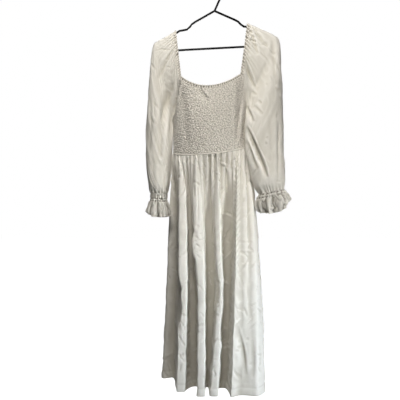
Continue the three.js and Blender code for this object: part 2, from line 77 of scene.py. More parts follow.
# %% Set the lights and floor
FLOOR_Z = -1.46
FLOOR_SIZE = 14.0
LIGHTS = [
    dict(name="window", at=(1.25, -1.15, -1.2), aim=(-0.1, 0.0, -1.18), size=(0.4, 0.45), spread=42,
         watts=1.6, colour=(0.84, 0.915, 1.0)),
    dict(name="window_high", at=(1.25, -1.15, -0.75), aim=(-0.05, 0.0, -0.75), size=(0.3, 0.3),
         spread=30, watts=0.34, colour=(1.0, 0.97, 0.91)),
    dict(name="lamp", at=(-0.08, -0.9, 0.44), aim=(0.0, 0.0, -0.44), size=(0.35, 0.25), spread=125,
         watts=7.2, colour=(1.0, 0.975, 0.935)),
    dict(name="room_front", at=(0.3, -2.2, -0.6), aim=(0.02, 0.0, -0.6), size=(0.8, 0.8), spread=60,
         watts=0.3, colour=(1.0, 0.98, 0.92)),
    dict(name="room_back", at=(0.2, 1.8, -0.1), aim=(0.0, 0.0, -0.7), size=(0.8, 0.8), spread=70,
         watts=7.0, colour=(1.0, 0.98, 0.95)),
]
ROOM_LIGHT = 0.012


def aim(obj, target):
    gaze = np.subtract(target, obj.location)
    obj.rotation_euler = (
        math.acos(-gaze[2] / np.linalg.norm(gaze)), 0, math.atan2(-gaze[0], gaze[1]))


for row in LIGHTS:
    lamp = bpy.data.lights.new(row["name"], "AREA")
    lamp.shape = "RECTANGLE"
    lamp.size, lamp.size_y = row["size"]
    lamp.energy, lamp.color = row["watts"], row["colour"]
    lamp.spread = math.radians(row["spread"])
    holder = bpy.data.objects.new(row["name"], lamp)
    holder.location = row["at"]
    holder.visible_camera = False
    aim(holder, row["aim"])
    scene.collection.objects.link(holder)

room = bpy.data.worlds.new("room")
room.use_nodes = True
sky = room.node_tree.nodes["Background"]
path = room.node_tree.nodes.new("ShaderNodeLightPath")
level = room.node_tree.nodes.new("ShaderNodeMapRange")
level.inputs["To Min"].default_value = ROOM_LIGHT
level.inputs["To Max"].default_value = 1.0
room.node_tree.links.new(path.outputs["Is Camera Ray"], level.inputs["Value"])
room.node_tree.links.new(level.outputs["Result"], sky.inputs["Strength"])
sky.inputs["Color"].default_value = (1.0, 1.0, 1.0, 1.0)
scene.world = room
scene.view_settings.view_transform = "Standard"

half = FLOOR_SIZE / 2
floor_mesh = bpy.data.meshes.new("floor")
floor_mesh.from_pydata(
    [(x, y, FLOOR_Z) for x, y in ((-half, -half), (half, -half), (half, half), (-half, half))],
    [], [(0, 1, 2, 3)])
floor = bpy.data.objects.new("floor", floor_mesh)
scene.collection.objects.link(floor)
paper = bpy.data.materials.new("pale_floor")
paper.use_nodes = True
shader = paper.node_tree.nodes["Principled BSDF"]
shader.inputs["Base Color"].default_value = (0.7, 0.7, 0.69, 1)
shader.inputs["Roughness"].default_value = 0.9
shader.inputs["Emission Color"].default_value = (1, 1, 1, 1)
path = paper.node_tree.nodes.new("ShaderNodeLightPath")
paper.node_tree.links.new(path.outputs["Is Camera Ray"], shader.inputs["Emission Strength"])
floor_mesh.materials.append(paper)
print("lights", [row["name"] for row in LIGHTS])

# %% [markdown]
# ## Weave
# The cloth is a soft plain weave with slubs, thicker bits of yarn that run along it. All the
# cloth finishes use it, so it is one node group: crossing threads and long slubs give a height for
# the bump and a small change of tint. It works in the cloth's own flat sizes, from its UV map.

# %% Make the weave group
SLUB_STRETCH = ((12, 260, 1), (220, 9, 1))
THREAD_HEIGHT = 0.18
MOTTLE = 0.7


def add_node(tree, kind, inputs=None, **settings):
    """A new node with its settings, values and links."""
    node = tree.nodes.new(kind)
    for name, value in settings.items():
        setattr(node, name, value)
    for name, value in (inputs or {}).items():
        if isinstance(value, bpy.types.NodeSocket):
            tree.links.new(value, node.inputs[name])
        else:
            node.inputs[name].default_value = value
    return node


def make_weave():
    group = bpy.data.node_groups.new("plain_weave", "ShaderNodeTree")
    group.interface.new_socket("Cloth", in_out="INPUT", socket_type="NodeSocketVector")
    for name in ("Threads per metre", "Slub", "Crumple"):
        group.interface.new_socket(name, in_out="INPUT", socket_type="NodeSocketFloat")
    for name in ("Height", "Tint"):
        group.interface.new_socket(name, in_out="OUTPUT", socket_type="NodeSocketFloat")
    start = add_node(group, "NodeGroupInput")
    end = add_node(group, "NodeGroupOutput")
    cloth = start.outputs["Cloth"]
    threads = start.outputs["Threads per metre"]
    waves = []
    for direction in ("X", "Y"):
        wave = add_node(group, "ShaderNodeTexWave", {
            "Vector": cloth, "Scale": threads, "Distortion": 1.5, "Detail": 1.0,
            "Detail Scale": 0.6}, bands_direction=direction)
        waves.append(wave.outputs["Fac"])
    crossing = add_node(group, "ShaderNodeMath", {0: waves[0], 1: waves[1]}, operation="ADD")
    slubs = []
    for stretch in SLUB_STRETCH:
        longer = add_node(group, "ShaderNodeVectorMath", {0: cloth, 1: stretch}, operation="MULTIPLY")
        noise = add_node(group, "ShaderNodeTexNoise", {
            "Vector": longer.outputs[0], "Scale": 1.0, "Detail": 3.0})
        slubs.append(noise.outputs["Fac"])
    slub = add_node(group, "ShaderNodeMath", {0: slubs[0], 1: slubs[1]}, operation="ADD")
    slub = add_node(group, "ShaderNodeMath", {
        0: slub.outputs[0], 1: start.outputs["Slub"]}, operation="MULTIPLY")
    crumple = add_node(group, "ShaderNodeTexNoise", {
        "Vector": cloth, "Scale": 42.0, "Detail": 5.0, "Roughness": 0.62, "Distortion": 0.7})
    crumple = add_node(group, "ShaderNodeMath", {
        0: crumple.outputs["Fac"], 1: start.outputs["Crumple"]}, operation="MULTIPLY")
    fine = add_node(group, "ShaderNodeMath", {
        0: crossing.outputs[0], 1: THREAD_HEIGHT, 2: slub.outputs[0]}, operation="MULTIPLY_ADD")
    height = add_node(group, "ShaderNodeMath", {
        0: fine.outputs[0], 1: crumple.outputs[0]}, operation="ADD")
    mottle = add_node(group, "ShaderNodeTexNoise", {"Vector": cloth, "Scale": 7.0, "Detail": 4.0})
    tint = add_node(group, "ShaderNodeMath", {
        0: mottle.outputs["Fac"], 1: MOTTLE, 2: slub.outputs[0]}, operation="MULTIPLY_ADD")
    group.links.new(height.outputs[0], end.inputs["Height"])
    group.links.new(tint.outputs[0], end.inputs["Tint"])
    return group


weave = make_weave()
print("weave group", [item.name for item in weave.interface.items_tree])

# %% [markdown]
# ## Finishes
# Cream cloth is matt with a faint sheen from its loose fibres. The shirred cloth is the same
# cloth puckered tight, with a closer weave; its colour is painted paler, as painted light on its
# crowns, and its pits get a dark painted shade. Light is lost in the narrow pits of gathers and
# puckers, which are finer than any grid, so a trough value on the mesh paints shade into them.
# The ruffles are the cream cloth in one crumpled layer, painted darker all over as shade. The
# hanger is glossy moulded black, with the slight waviness of a moulding.

# %% Make the finishes
BUMP = 0.6
TONE_STOPS = (0.25, 0.75)


def cloth_finish(name, light, dark, pit_shade, threads, slub, crumple):
    """Woven cloth between a light and a dark tone, with painted shade towards the pit tone in its hollows.
    """
    finish = bpy.data.materials.new(name)
    finish.use_nodes = True
    tree = finish.node_tree
    shader = tree.nodes["Principled BSDF"]
    flat = add_node(tree, "ShaderNodeUVMap", uv_map="cut")
    woven = add_node(tree, "ShaderNodeGroup", node_tree=weave)
    tree.links.new(flat.outputs["UV"], woven.inputs["Cloth"])
    woven.inputs["Threads per metre"].default_value = threads
    woven.inputs["Slub"].default_value = slub
    woven.inputs["Crumple"].default_value = crumple
    tone = add_node(tree, "ShaderNodeValToRGB", {"Fac": woven.outputs["Tint"]})
    for stop, place, colour in zip(tone.color_ramp.elements, TONE_STOPS, (dark, light)):
        stop.position, stop.color = place, (*colour, 1)
    raised = add_node(tree, "ShaderNodeBump", {
        "Height": woven.outputs["Height"], "Strength": BUMP, "Distance": 0.0012})
    # Painted shade: the mesh's trough value darkens the colour towards the pit tone in the troughs.
    hollow_shade = add_node(tree, "ShaderNodeAttribute", attribute_name="hollow_shade")
    depth = add_node(tree, "ShaderNodeValToRGB", {"Fac": hollow_shade.outputs["Fac"]})
    depth.color_ramp.elements[0].color = (1.0, 1.0, 1.0, 1)
    depth.color_ramp.elements[1].color = (*pit_shade, 1)
    toned = add_node(tree, "ShaderNodeMix", {
        0: 1.0, 6: tone.outputs["Color"], 7: depth.outputs["Color"]},
        data_type="RGBA", blend_type="MULTIPLY")
    tree.links.new(toned.outputs[2], shader.inputs["Base Color"])
    tree.links.new(raised.outputs["Normal"], shader.inputs["Normal"])
    shader.inputs["Roughness"].default_value = 0.88
    shader.inputs["Specular IOR Level"].default_value = 0.25
    shader.inputs["Sheen Weight"].default_value = 0.18
    shader.inputs["Sheen Roughness"].default_value = 0.45
    return finish


def plastic_finish():
    finish = bpy.data.materials.new("gloss_black_plastic")
    finish.use_nodes = True
    tree = finish.node_tree
    shader = tree.nodes["Principled BSDF"]
    place = add_node(tree, "ShaderNodeTexCoord")
    wavy = add_node(tree, "ShaderNodeTexNoise", {
        "Vector": place.outputs["Object"], "Scale": 160.0, "Detail": 2.0})
    scuffs = add_node(tree, "ShaderNodeMapRange", {
        "Value": wavy.outputs["Fac"], "To Min": 0.2, "To Max": 0.34})
    raised = add_node(tree, "ShaderNodeBump", {
        "Height": wavy.outputs["Fac"], "Strength": 0.15, "Distance": 0.0005})
    tree.links.new(scuffs.outputs["Result"], shader.inputs["Roughness"])
    tree.links.new(raised.outputs["Normal"], shader.inputs["Normal"])
    shader.inputs["Base Color"].default_value = (0.003, 0.003, 0.0035, 1)
    shader.inputs["Specular IOR Level"].default_value = 0.3
    return finish


FINISHES = {
    # The pit colours below are painted shade, multiplied into the cloth's colour in its hollows.
    "cream_cloth": cloth_finish(
        "cream_plain_weave", light=(0.86, 0.835, 0.775), dark=(0.79, 0.765, 0.70),
        pit_shade=(0.70, 0.685, 0.64), threads=420, slub=0.4, crumple=1.6),
    # The shirred finish is the cream cloth painted paler, as painted light on its crowns, with a much
    # darker painted shade in its pits.
    "shirred_cloth": cloth_finish(
        "shirred_plain_weave", light=(0.93, 0.89, 0.82), dark=(0.83, 0.79, 0.72),
        pit_shade=(0.32, 0.307, 0.272), threads=520, slub=0.35, crumple=1.0),
    # The ruffle finish is the cream cloth painted darker all over, as painted shade for its crumpled layer.
    "shaded_ruffle_cloth": cloth_finish(
        "shaded_ruffle_weave", light=(0.73, 0.705, 0.65), dark=(0.64, 0.615, 0.56),
        pit_shade=(0.38, 0.365, 0.325), threads=420, slub=0.4, crumple=1.6),
    "hanger_plastic": plastic_finish(),
}
print("finishes", list(FINISHES))

# %% [markdown]
# ## Hanger
# The hanger is one bent tube with a hook, and its frame already has the true shape, so it keeps
# its mesh and takes only the plastic finish.

# %% Finish the hanger
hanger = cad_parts["hanger"]
hanger.data.materials.clear()
hanger.data.materials.append(FINISHES["hanger_plastic"])
print("hanger", len(hanger.data.polygons), "faces")

# %% [markdown]
# ## Cloth on a grid
# Each panel is a grid of points, rows down the cloth and columns across it. Smooth curves
# through a few named sections give the grid, and two copies of it, moved apart by the thickness,
# make a closed shell. Working on the grid keeps the creases where they are given, which a
# simulation would not. Each panel prints its widest and longest size along the cloth, in metres,
# and its area.

# %% Curves and shells
THICKNESS = {"cream_cloth": 1.1, "shirred_cloth": 1.4}
# Scales of the trough measure behind the painted shade in hollows.
HOLLOW_SCALES = ((5, 0.4), (40, 3.0))


def smooth(points, shares):
    """Places on a smooth curve through points, at shares of the way along it."""
    points = np.asarray(points, float)
    place = np.asarray(shares, float) * (len(points) - 1)
    first = np.clip(np.floor(place).astype(int), 0, len(points) - 2)
    longer = np.concatenate([[2 * points[0] - points[1]], points, [2 * points[-1] - points[-2]]])
    a, b, c, d = (longer[first + step] for step in range(4))
    w = (place - first).reshape(-1, *[1] * (points.ndim - 1))
    return b + w / 2 * (c - a + w * (2 * a - 5 * b + 4 * c - d + w * (3 * (b - c) + d - a)))


def bend(start, middle, end, shares):
    """Places on a curve from start to end, drawn towards middle."""
    t = np.asarray(shares, float)[:, None]
    start, middle, end = (np.asarray(p, float) for p in (start, middle, end))
    return (1 - t) ** 2 * start + 2 * t * (1 - t) * middle + t ** 2 * end


def mix(a, b, share):
    return a + (b - a) * share


def ease(low, high, value):
    """0 below low, 1 above high and smooth between."""
    t = np.clip((value - low) / (high - low), 0, 1)
    return t * t * (3 - 2 * t)


def outward(grid, closed=False):
    """Unit normals of a grid whose columns run to the right as seen from outside."""
    if closed:
        wide = np.concatenate([grid[:, -1:], grid, grid[:, :1]], axis=1)
        across = np.gradient(wide, axis=1)[:, 1:-1]
    else:
        across = np.gradient(grid, axis=1)
    normal = np.cross(np.gradient(grid, axis=0), across)
    return normal / np.maximum(np.linalg.norm(normal, axis=2, keepdims=True), 1e-9)


def lengths(grid, axis):
    """Length along the cloth from the grid's first row or column to each point."""
    steps = np.linalg.norm(np.diff(grid, axis=axis), axis=2)
    start = np.zeros_like(np.take(steps, [0], axis=axis))
    return np.concatenate([start, np.cumsum(steps, axis=axis)], axis=axis)


def soften(grid, times, closed):
    """The grid averaged with its neighbours several times over."""
    for _ in range(times):
        for axis in (0, 1):
            if closed and axis == 1:
                before, after = np.roll(grid, 1, 1), np.roll(grid, -1, 1)
            else:
                last = grid.shape[axis] - 1
                before = np.take(grid, np.maximum(np.arange(last + 1) - 1, 0), axis)
                after = np.take(grid, np.minimum(np.arange(last + 1) + 1, last), axis)
            grid = (before + 2 * grid + after) / 4
    return grid


def hollows(grid, closed):
    """How far each point lies in a trough, from -1 on a crest to 1, at a fine and a broad scale."""
    total = 0
    for times, deep in HOLLOW_SCALES:
        mean = soften(grid, times, closed)
        total = total + np.tanh(((mean - grid) * outward(mean, closed)).sum(axis=2) / deep)
    return total / len(HOLLOW_SCALES)


def raised(grid, relief, closed=False):
    """The grid moved outwards by a relief in millimetres."""
    return grid + outward(grid, closed) * relief[..., None]


def inset(along, reach, axis):
    """0 at both ends of the lengths along the cloth and 1 from reach inwards."""
    end = along[:, -1:] if axis else along[-1:]
    return np.minimum(ease(0, reach, along), ease(0, reach, end - along))


def cells(*corners):
    """Column and row of each corner of many faces, from the corners' columns and rows."""
    return np.stack([np.stack(np.broadcast_arrays(*corner), 1) for corner in corners], 1)


def shell_faces(rows, columns, closed):
    """Faces of a shell on two layers of a grid, and the column and row of their corners."""
    wide = columns if closed else columns - 1
    r, c = (part.ravel() for part in np.mgrid[0:rows - 1, 0:wide])
    across, down = np.arange(wide), np.arange(rows - 1)
    sheet = cells((c, r), (c, r + 1), (c + 1, r + 1), (c + 1, r))
    rims = [(cells((across, row), (across + 1, row)), flip) for row, flip in ((0, 1), (rows - 1, -1))]
    if not closed:
        rims += [(cells((column, down), (column, down + 1)), flip)
                 for column, flip in ((0, 1), (columns - 1, -1))]
    front = sheet[..., 1] * columns + sheet[..., 0] % columns
    back = rows * columns
    faces, corners = [front, front[:, ::-1] + back], [sheet, sheet[:, ::-1]]
    for rim, flip in rims:
        edge = rim[..., 1] * columns + rim[..., 0] % columns
        faces.append(np.concatenate([edge, edge[:, ::-1] + back], 1)[:, ::flip])
        corners.append(rim[:, [0, 1, 1, 0]][:, ::flip])
    return np.concatenate(faces), np.concatenate(corners)


def cloth(name, grid, slot, closed=False, finish=None):
    """A closed thin shell about the grid, with its flat sizes as UVs, riding in place of its node."""
    offset = outward(grid, closed) * THICKNESS[slot] / 2
    points = np.concatenate([(grid + offset).reshape(-1, 3), (grid - offset).reshape(-1, 3)]) * MM
    faces, corners = shell_faces(*grid.shape[:2], closed)
    mesh = bpy.data.meshes.new(name)
    mesh.from_pydata(points, [], faces)
    ring = np.concatenate([grid, grid[:, :1]], axis=1) if closed else grid
    across = lengths(ring, 1).mean(axis=0) * MM
    down = lengths(grid, 0).mean(axis=1) * MM
    flat = np.stack([across[corners[..., 0]], down[corners[..., 1]]], -1)
    mesh.uv_layers.new(name="cut").data.foreach_set("uv", flat.astype(np.float32).ravel())
    # Painted shade: how deep each point lies in a trough is stored on the mesh for the finish to darken.
    deep = hollows(grid, closed).ravel()
    tone = 0.5 + 0.5 * np.concatenate([deep, -deep])
    hollow_shade = mesh.attributes.new("hollow_shade", "FLOAT", "POINT")
    hollow_shade.data.foreach_set("value", tone.astype(np.float32))
    mesh.shade_smooth()
    mesh.materials.append(FINISHES[finish or slot])
    piece = bpy.data.objects.new(name + "_cloth", mesh)
    scene.collection.objects.link(piece)
    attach(piece, "root")
    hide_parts(name)
    widest, longest = lengths(ring, 1)[:, -1].max() * MM, lengths(grid, 0)[-1].max() * MM
    area = sum(face.area for face in mesh.polygons) / 2
    print(piece.name, len(faces) * 2, "triangles, at most", round(widest, 3), "by", round(longest, 3),
          "m,", round(area, 4), "square metres")


# %% [markdown]
# ## Gathers and creases
# Gathers are uneven waves that start at a seam and die out down the cloth. A crease is a soft
# trough or ridge along a line: a row gives its width, depth and lean, then places along the line.
# They are in millimetres as seen from the front on the hanger's plane, so a crease lands where it
# shows, whatever the cloth does in depth.

# %% Gathers and creases
GATHER_GAPS, GATHER_HEIGHTS, GATHER_REACHES = (0.65, 1.35), (0.45, 1.0), (0.55, 1.5)
FACING = (0.05, 0.45)
TAPER = 0.75
LEAN = 0.62
LIP = dict(height=0.22, at=1.9)
CRUMPLE_SCALES = ((1.0, 1.0), (0.47, 0.5))
CRUMPLE = dict(tall=1.7, sharp=2.4, ends=12, sides=10)
CRINKLE = dict(turn=14, bend=0.15, lip=0.4, lip_at=1.8, ends=8)


def gathers(place, spacing, seed):
    """Uneven waves along an edge, from -1 to 1, and how far each reaches, about 1."""
    random = np.random.default_rng(seed)
    count = int((place.max() - place.min()) / spacing * 1.6) + 6
    peaks = place.min() - spacing + np.cumsum(spacing * random.uniform(*GATHER_GAPS, count))
    phase = np.interp(place, peaks, np.arange(count))
    height = np.interp(place, peaks, random.uniform(*GATHER_HEIGHTS, count))
    reach = np.interp(place, peaks, random.uniform(*GATHER_REACHES, count))
    return height * np.cos(2 * np.pi * phase), reach


def seen(grid):
    """Places in x and z as seen from the camera on the hanger's plane."""
    deep = (grid[..., 1] - EYE[1]) / -EYE[1]
    flat = grid[..., [0, 2]] - EYE[[0, 2]]
    return EYE[[0, 2]] + flat / deep[..., None]


def along_line(flat, line, steps=20):
    """Distance to the right of a line and share along it, for each place."""
    points = smooth(line, np.linspace(0, 1, steps))
    best = np.full(flat.shape[:2], 1e9)
    side, share = np.zeros_like(best), np.zeros_like(best)
    for n in range(steps - 1):
        a, way = points[n], points[n + 1] - points[n]
        long = way @ way
        t = (flat - a) @ way / long
        near = np.clip(t, 0, 1)
        gap = flat - a - near[..., None] * way
        far = np.linalg.norm(gap, axis=2)
        turn = np.sign(way[0] * gap[..., 1] - way[1] * gap[..., 0])
        closer = far < best
        best = np.where(closer, far, best)
        side = np.where(closer, turn * far, side)
        share = np.where(closer, (n + near) / (steps - 1), share)
    return side, share


def press(grid, creases, face=-1):
    """Presses creases into the side of the cloth that faces the camera, or with face 1 away from it.

    A crease with lean 1 has its gentle side on the right of its line and with lean -1 on the left.
    """
    facing = ease(*FACING, face * outward(grid)[..., 1])
    flat = seen(grid)
    depth = np.zeros(grid.shape[:2])
    for wide, deep, lean, *line in creases:
        side, share = along_line(flat, line)
        taper = np.sin(np.pi * share) ** TAPER
        reach = wide * (1 + LEAN * lean * np.tanh(side / wide))
        trough = np.exp(-(side / reach) ** 2)
        lip = np.exp(-((np.abs(side) - LIP["at"] * reach) / reach) ** 2)
        depth -= taper * deep * (trough - LIP["height"] * lip)
    return raised(grid, depth * facing)


def crumple(grid, seed, size, height):
    """Low uneven creases all over a panel, as light cloth keeps after wear."""
    random = np.random.default_rng(seed)
    across, down = lengths(grid, 1), lengths(grid, 0)
    total = np.zeros(grid.shape[:2])
    for scale, share in CRUMPLE_SCALES:
        u, v = across / (size * scale), down / (CRUMPLE["tall"] * size * scale)
        knots = random.uniform(-1, 1, (int(v.max()) + 3, int(u.max()) + 3))
        i, j = np.floor(u).astype(int), np.floor(v).astype(int)
        a, b = ease(0, 1, u - i), ease(0, 1, v - j)
        upper = mix(knots[j, i], knots[j, i + 1], a)
        lower = mix(knots[j + 1, i], knots[j + 1, i + 1], a)
        total += share * (1 - CRUMPLE["sharp"] * np.abs(mix(upper, lower, b)))
    fade = np.minimum(inset(down, CRUMPLE["ends"], 0), inset(across, CRUMPLE["sides"], 1))
    return raised(grid, height * total * fade)


def crinkle(grid, seed, count, long, wide, deep, slant, closed=False):
    """Small straight creases scattered over a panel, slant degrees from across, some raised."""
    random = np.random.default_rng(seed)
    across, down = lengths(grid, 1), lengths(grid, 0)
    fade = inset(down, CRINKLE["ends"], 0)
    if closed:
        across = across / across[:, -1:] * across[:, -1].mean()
    else:
        fade = np.minimum(fade, inset(across, CRINKLE["ends"], 1))
    relief = np.zeros(grid.shape[:2])
    for _ in range(count):
        middle = random.uniform(0, across.max()), random.uniform(0, down.max())
        turn = math.radians(random.normal(random.choice(slant), CRINKLE["turn"]))
        reach, narrow = random.uniform(*long) / 2, random.uniform(*wide)
        height = random.uniform(*deep) * random.choice((-1, -1, 1))
        u = (across - middle[0]) * math.cos(turn) + (down - middle[1]) * math.sin(turn)
        v = (down - middle[1]) * math.cos(turn) - (across - middle[0]) * math.sin(turn)
        v = (v + random.uniform(-CRINKLE["bend"], CRINKLE["bend"]) * u ** 2 / reach) / narrow
        trough = np.exp(-v ** 2) - CRINKLE["lip"] * np.exp(-(v - CRINKLE["lip_at"]) ** 2)
        relief += height * np.exp(-(u / reach) ** 4) * trough
    return raised(grid, relief * fade, closed)


print("gathers, creases and crumples are ready")

# %% [markdown]
# ## Pattern of the dress
# The sizes below are the dress's own, in millimetres: the oval of the waist seam, the corners of
# the neckline, the raglan seams and the sleeves' sections. They are the sizes of the frame's
# solids, so each finished panel lies where its solid lies.

# %% Sizes of the bodice and sleeves
WAIST = dict(x=-13.5, half=120.5, y=-10, front=72, back=56, z=-526, sag=43, tilt=12)
LEFT = dict(
    side=-1, front_corner=(-108, -45, -307), front_raglan=(-116, -43, -315),
    back_corner=(-114, 50, -318), back_raglan=(-122, 48, -326), underarm=(-138, 12, -462),
    front_curve=(-128, -22, -386), back_curve=(-134, 33, -392))
RIGHT = dict(
    side=1, front_corner=(88, -45, -299), front_raglan=(96, -43, -307),
    back_corner=(97, 50, -312), back_raglan=(105, 48, -320), underarm=(107, -22, -425),
    front_curve=(103, -37, -364), back_curve=(114, 15, -374))
NECK_DIP = dict(front=(-26, -103, -387), back=(-8, 74, -362))
CASING_DROP = 9.5
ARM_SLOPE = math.tan(math.radians(27))
APEX_Z = -(24 / math.sin(math.radians(27)) + 20.5)
HANGER_TILT = math.radians(3)
CLOTH_ON_ARM = 6.3


def waist(angle):
    """Place on the waist seam, 0 degrees at the centre front and growing to the right."""
    turn = np.radians(np.asarray(angle, float))
    reach = np.where(np.cos(turn) > 0, WAIST["front"], WAIST["back"])
    return np.stack([
        WAIST["x"] + WAIST["half"] * np.sin(turn),
        WAIST["y"] - reach * np.cos(turn),
        WAIST["z"] - WAIST["sag"] * (1 + np.cos(turn)) / 2 + WAIST["tilt"] * np.sin(turn)], -1)


def over_arm(side, out):
    """Place of cloth that lies over an arm of the hanger."""
    x, z = side * out, APEX_Z - out * ARM_SLOPE + CLOTH_ON_ARM
    turn = np.array([math.cos(HANGER_TILT), math.sin(HANGER_TILT)])
    return np.array([x * turn[0] - z * turn[1], 0, x * turn[1] + z * turn[0]])


def neck(face, shares, seam):
    """Neckline edge, or with seam the line where the casing joins the bodice."""
    corner, drop = ("raglan", CASING_DROP) if seam else ("corner", 0)
    dip = np.subtract(NECK_DIP[face], (0, 0, drop))
    return bend(LEFT[f"{face}_{corner}"], dip, RIGHT[f"{face}_{corner}"], shares)


def raglan(arm, face, shares):
    return bend(arm[f"{face}_raglan"], arm[f"{face}_curve"], arm["underarm"], shares)


print("waist round", round(float(lengths(waist(np.arange(361))[None], 1)[0, -1])), "mm")

# %% [markdown]
# ## Bodice
# The bodice is shirred: rows of elastic thread draw the cloth up, so it stands in small puffs
# between the rows. The puffs are real relief on a fine grid, each about an uneven centre and about
# four millimetres across, so the rows hardly show. A cord of turned cloth ends them at the waist.

# %% Make the bodice panels
CORNER_AT = 0.2
SHIRR_STEP = np.array([4.3, 4.1])
SHIRR_JITTER = np.array([0.9, 0.85])
SHIRR_HEIGHT = 3.6
SHIRR_SINK = 0.8
SHIRR_EDGE = 3
PUFF_TABLE = (97, 89)
PUFF_SIZES = (0.25, 1.1)
PUFF_REACH = 0.64
BODICE_BULGE = 6
WAIST_CORD = dict(up=2.6, wide=2.2, height=3.2, clear=(4, 8))
BODICES = [
    dict(name="bodice_front", face="front", out=-1, angles=(-108, -38, 40, 47), grid=(218, 220),
         seed=11, folds=((0.21, 5, 0.045), (0.84, 7, 0.04))),
    dict(name="bodice_back", face="back", out=1, angles=(252, 222, 112, 47), grid=(105, 150),
         seed=12, folds=((0.24, 6, 0.05), (0.7, 7, 0.05))),
]


def bodice_grid(row):
    rows, columns = row["grid"]
    u = np.linspace(0, 1, columns)
    seam = np.empty((columns, 3))
    left, right = u < CORNER_AT, u > 1 - CORNER_AT
    middle = ~(left | right)
    seam[left] = raglan(LEFT, row["face"], 1 - u[left] / CORNER_AT)
    seam[right] = raglan(RIGHT, row["face"], (u[right] - 1 + CORNER_AT) / CORNER_AT)
    seam[middle] = neck(row["face"], (u[middle] - CORNER_AT) / (1 - 2 * CORNER_AT), True)
    low = waist(np.interp(u, (0, CORNER_AT, 1 - CORNER_AT, 1), row["angles"]))
    v = np.linspace(0, 1, rows)[:, None, None]
    grid = mix(seam[None], low[None], v)
    fold = sum(deep * np.exp(-((u - at) / wide) ** 2) for at, deep, wide in row["folds"])
    grid[..., 1] += row["out"] * np.sin(np.pi * v[..., 0]) * (BODICE_BULGE * np.sin(np.pi * u) - fold)
    return grid if row["out"] < 0 else grid[:, ::-1]


def puffs(across, down, seed):
    """Rounded puffs about uneven centres in rows, 0 between them and about 1 on top."""
    random = np.random.default_rng(seed)
    cell = np.stack([across, down], -1) / SHIRR_STEP
    base = np.floor(cell).astype(int)
    spots = random.uniform(-0.5, 0.5, (*PUFF_TABLE, 2)) * SHIRR_JITTER
    sizes = random.uniform(*PUFF_SIZES, PUFF_TABLE)
    best, height = np.full(across.shape, 9.0), np.zeros(across.shape)
    for right in (-1, 0, 1):
        for below in (-1, 0, 1):
            near = base + (right, below)
            pick = near[..., 0] % PUFF_TABLE[0], near[..., 1] % PUFF_TABLE[1]
            gap = np.linalg.norm(cell - near - 0.5 - spots[pick], axis=-1)
            height = np.where(gap < best, sizes[pick], height)
            best = np.minimum(gap, best)
    return height * np.clip(1 - (best / PUFF_REACH) ** 2, 0, 1)


def shirr(grid, seed):
    """Puffs of cloth between rows of elastic thread, and a cord of turned cloth at the waist seam."""
    across, down = lengths(grid, 1), lengths(grid, 0)
    middle = grid.shape[1] // 2
    up = down[-1:] - down
    relief = puffs(across - across[:, middle:middle + 1], up, seed)
    edge = np.minimum(ease(0, SHIRR_EDGE, down), ease(*WAIST_CORD["clear"], up))
    edge = np.minimum(edge, inset(across, SHIRR_EDGE, 1))
    cord = WAIST_CORD["height"] * np.exp(-((up - WAIST_CORD["up"]) / WAIST_CORD["wide"]) ** 2)
    return raised(grid, SHIRR_HEIGHT * edge * relief + cord - SHIRR_SINK)


SEAM_GAP = (4.5, 11, 0, (-113, -310), (-125, -368), (-138, -440))
BODICE_CREASES = [
    (9, 4.5, -1, (-50, -333), (-30, -359), (-11, -380)),
    (10, 2.5, 0, (-101, -330), (-92, -420), (-84, -540)),
    SEAM_GAP,
    (9, 5, 0, (90, -300), (84, -420), (76, -540)),
]
for row in BODICES:
    grid = bodice_grid(row)
    if row["face"] == "front":
        grid = press(grid, BODICE_CREASES)
    cloth(row["name"], shirr(grid, row["seed"]), "shirred_cloth")

# %% [markdown]
# ## Neck casings
# An elastic in a narrow casing draws up the square neckline. Above the elastic the cloth stands
# as a tiny frill. Front and back casings follow the bodice and the other two follow the sleeves.
# Each is a narrow band of the grid with flutes and a row of pits along the stitching.

# %% Make the front and back casings
CASING_GRID = (12, 190)
CASING_SEED = 20
FRILL = dict(step=7.4, height=3.8, edge=1.6, ends=4)
STITCH = dict(at=0.55, wide=0.16, deep=4.2, flatten=0.4)
NECK_GATHER = dict(step=10.5, height=4.8, reach=26.0)


def frill(grid, seed, edge=None):
    """Flutes along a casing with a row of stitched pits, or the gathers of a sleeve with that edge."""
    across, down = lengths(grid, 1), lengths(grid, 0)
    if edge is None:
        wave, height = gathers(across[0], FRILL["step"], seed)[0], FRILL["height"]
    else:
        place = across[0] / across[0, -1] * edge
        wave, height = gathers(place, NECK_GATHER["step"], seed)[0], NECK_GATHER["height"]
    row = np.exp(-((down / down[-1:] - STITCH["at"]) / STITCH["wide"]) ** 2)
    ends = inset(across, FRILL["ends"], 1)
    flutes = height * wave[None] * (1 - STITCH["flatten"] * row)
    moved = raised(grid, ends * (flutes - STITCH["deep"] * row * (1 - wave[None]) / 2))
    moved[0] += (ends[0] * wave * FRILL["edge"])[:, None] * (grid[0] - grid[-1]) / down[-1][:, None]
    return moved


casing_down = np.linspace(0, 1, CASING_GRID[0])[:, None, None]
casing_along = np.linspace(0, 1, CASING_GRID[1])
for face, flip in (("front", 1), ("back", -1)):
    edges = neck(face, casing_along, False), neck(face, casing_along, True)
    band = mix(*edges, casing_down)[:, ::flip]
    cloth(f"neck_casing_{face}", frill(band, CASING_SEED + flip), "shirred_cloth")

# %% [markdown]
# ## Sleeves
# A raglan sleeve runs from the neckline over the hanger's arm and hangs down to a gathered wrist.
# Its grid goes through a section at each named place: the outer line, the inner seam and the
# fullness to front and back. Gathers fan out from the neck and draw in again at the wrist.

